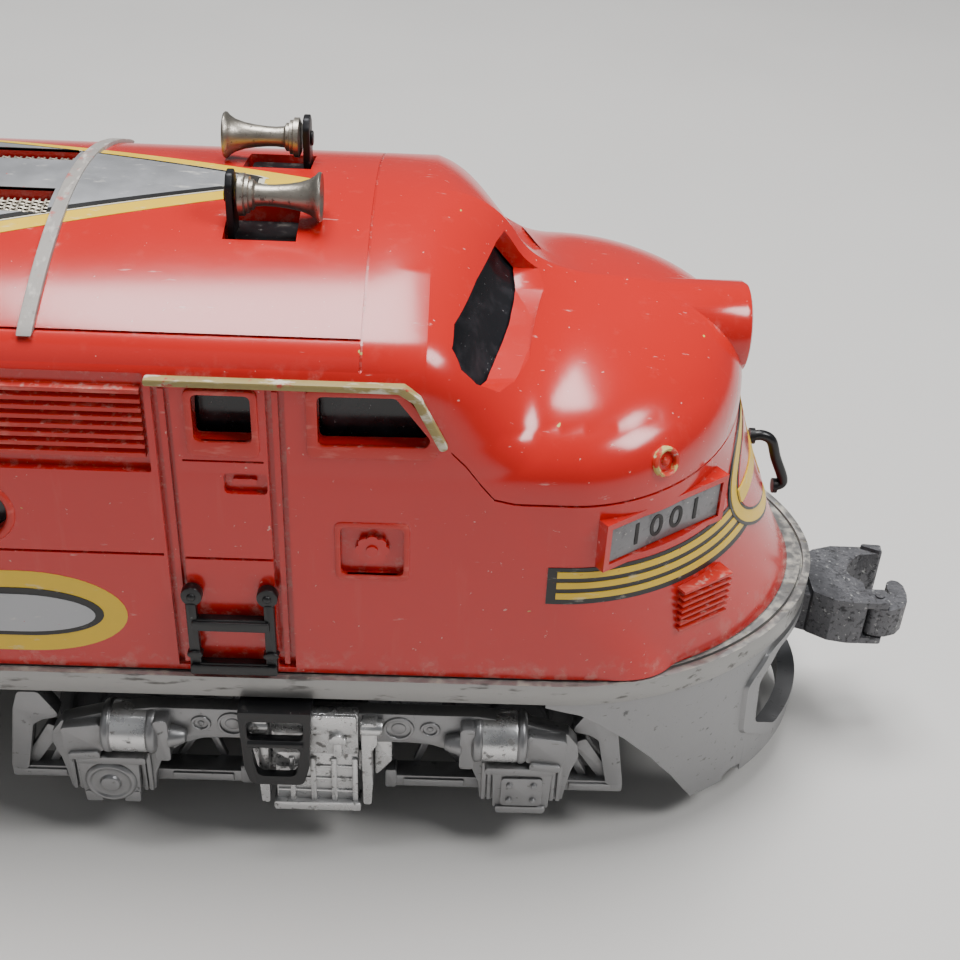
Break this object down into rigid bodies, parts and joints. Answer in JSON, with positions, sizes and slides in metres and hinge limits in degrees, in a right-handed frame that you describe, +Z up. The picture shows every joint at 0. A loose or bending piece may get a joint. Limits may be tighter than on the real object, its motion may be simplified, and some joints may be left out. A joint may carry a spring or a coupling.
{
  "type": "electric toy locomotive",
  "caption": "O gauge three-rail electric toy locomotive: streamlined diesel cab unit with a moulded shell, silver frame and swivelling trucks.",
  "frame": {"origin": "centre of the footprint on the ground, with the wheel flanges standing on it", "axes": "+X forward towards the nose, +Y to the locomotive's left, +Z up"},
  "size_m": [0.336, 0.0712, 0.0924],
  "materials": {
    "red_plastic": "gloss painted moulded shell, worn along its edges",
    "silver_paint": "satin silver paint on cast metal, scuffed",
    "black_plastic": "satin moulded black plastic",
    "black_steel": "blackened steel",
    "bare_steel": "bright turned steel",
    "horn_metal": "dull tarnished metal",
    "sintered_iron": "dark sintered iron",
    "cast_zinc": "grainy bare casting",
    "brass": "machined",
    "copper": "wound and turned copper",
    "phenolic": "brown laminated sheet",
    "clear_plastic": "clear moulded strip, dusty",
    "lens": "clear lens",
    "number_plate": "grey translucent plate with black digits",
    "wire_mesh": "punched wire screen"
  },
  "bodies": {
    "chassis": {"body_screw_front": "black_steel", "body_screw_rear": "black_steel", "body_shell": "red_plastic", "chassis_frame": "silver_paint", "door_step_left": "black_plastic", "door_step_right": "black_plastic", "front_pilot": "silver_paint", "fuel_tank": "silver_paint", "headlight_lens": "lens", "horn_bracket_left": "black_steel", "horn_bracket_right": "black_steel", "horn_left": "horn_metal", "horn_right": "horn_metal", "lamp_bracket": "brass", "lamp_bulb": "lens", "nose_grab_rail": "black_plastic", "number_board_left": "number_plate", "number_board_right": "number_plate", "porthole_glazing_left": "clear_plastic", "porthole_glazing_right": "clear_plastic", "rear_pivot_screw": "bare_steel", "reversing_unit": "phenolic", "roof_screen_left": "wire_mesh", "roof_screen_right": "wire_mesh", "side_glazing_left": "clear_plastic", "side_glazing_right": "clear_plastic", "windshield_left": "clear_plastic", "windshield_right": "clear_plastic"},
    "front_truck": {"front_truck_frame": "cast_zinc", "front_side_frame_left": "silver_paint", "front_side_frame_right": "silver_paint", "stirrup_step_left": "black_plastic", "stirrup_step_right": "black_plastic", "motor_housing": "black_steel", "brush_plate": "phenolic"},
    "rear_truck": {"rear_truck_frame": "black_steel", "rear_side_frame_left": "silver_paint", "rear_side_frame_right": "silver_paint"},
    "armature": {"armature": "copper", "drive_worm": "brass"},
    "front_drive_wheelset": {"front_drive_axle": "bare_steel", "front_drive_wheel_left": "sintered_iron", "front_drive_wheel_right": "sintered_iron", "worm_gear": "brass"},
    "front_lead_wheelset": {"front_lead_axle": "bare_steel", "front_lead_wheel_left": "sintered_iron", "front_lead_wheel_right": "sintered_iron"},
    "rear_lead_wheelset": {"rear_lead_axle": "bare_steel", "rear_lead_wheel_left": "sintered_iron", "rear_lead_wheel_right": "sintered_iron"},
    "rear_trail_wheelset": {"rear_trail_axle": "bare_steel", "rear_trail_wheel_left": "sintered_iron", "rear_trail_wheel_right": "sintered_iron"},
    "front_coupler": {"front_coupler_arm": "cast_zinc"},
    "front_knuckle": {"front_knuckle": "cast_zinc"},
    "rear_coupler": {"rear_coupler_arm": "cast_zinc"},
    "rear_knuckle": {"rear_knuckle": "cast_zinc"},
    "pickup_arm": {"pickup_arm": "copper"},
    "pickup_roller": {"pickup_roller": "bare_steel"},
    "reversing_lever": {"reversing_lever": "black_steel"}
  },
  "joints": [
    {"name": "front_truck_swivel", "type": "hinge", "parent": "chassis", "child": "front_truck", "pos_m": [0.08, 0, 0.028], "axis": [0, 0, 1], "range_deg": [-11, 11]},
    {"name": "rear_truck_swivel", "type": "hinge", "parent": "chassis", "child": "rear_truck", "pos_m": [-0.095, 0, 0.028], "axis": [0, 0, 1], "range_deg": [-11, 11]},
    {"name": "front_drive_spin", "type": "hinge", "parent": "front_truck", "child": "front_drive_wheelset", "pos_m": [0.05142, 0, 0.0116], "axis": [0, 1, 0], "continuous": true},
    {"name": "armature_spin", "type": "hinge", "parent": "front_truck", "child": "armature", "pos_m": [0.06053, 0, 0.036], "axis": [0, 0, 1], "continuous": true},
    {"name": "front_lead_spin", "type": "hinge", "parent": "front_truck", "child": "front_lead_wheelset", "pos_m": [0.10858, 0, 0.0116], "axis": [0, 1, 0], "continuous": true},
    {"name": "rear_lead_spin", "type": "hinge", "parent": "rear_truck", "child": "rear_lead_wheelset", "pos_m": [-0.06642, 0, 0.0116], "axis": [0, 1, 0], "continuous": true},
    {"name": "rear_trail_spin", "type": "hinge", "parent": "rear_truck", "child": "rear_trail_wheelset", "pos_m": [-0.12358, 0, 0.0116], "axis": [0, 1, 0], "continuous": true},
    {"name": "front_coupler_swing", "type": "hinge", "parent": "front_truck", "child": "front_coupler", "pos_m": [0.1, 0, 0.019], "axis": [0, 0, 1], "range_deg": [-3, 3]},
    {"name": "rear_coupler_swing", "type": "hinge", "parent": "rear_truck", "child": "rear_coupler", "pos_m": [-0.115, 0, 0.019], "axis": [0, 0, 1], "range_deg": [-12, 12]},
    {"name": "front_knuckle_open", "type": "hinge", "parent": "front_coupler", "child": "front_knuckle", "pos_m": [0.163, -0.0052, 0.022], "axis": [0, 0, 1], "range_deg": [-40, 0]},
    {"name": "rear_knuckle_open", "type": "hinge", "parent": "rear_coupler", "child": "rear_knuckle", "pos_m": [-0.163, 0.0052, 0.022], "axis": [0, 0, 1], "range_deg": [-40, 0]},
    {"name": "pickup_arm_lift", "type": "hinge", "parent": "rear_truck", "child": "pickup_arm", "pos_m": [-0.083, 0, 0.0055], "axis": [0, 1, 0], "range_deg": [0, 4], "stiffness_Nm_per_rad": 0.02},
    {"name": "pickup_roller_spin", "type": "hinge", "parent": "pickup_arm", "child": "pickup_roller", "pos_m": [-0.1, 0, 0.0034], "axis": [0, 1, 0], "continuous": true},
    {"name": "reversing_lever_throw", "type": "hinge", "parent": "chassis", "child": "reversing_lever", "pos_m": [0.029, 0, 0.037], "axis": [0, 1, 0], "range_deg": [-9, 9]}
  ],
  "couplings": [
    {"joint": "front_drive_spin", "follows": "armature_spin", "ratio": 0.055556}
  ]
}
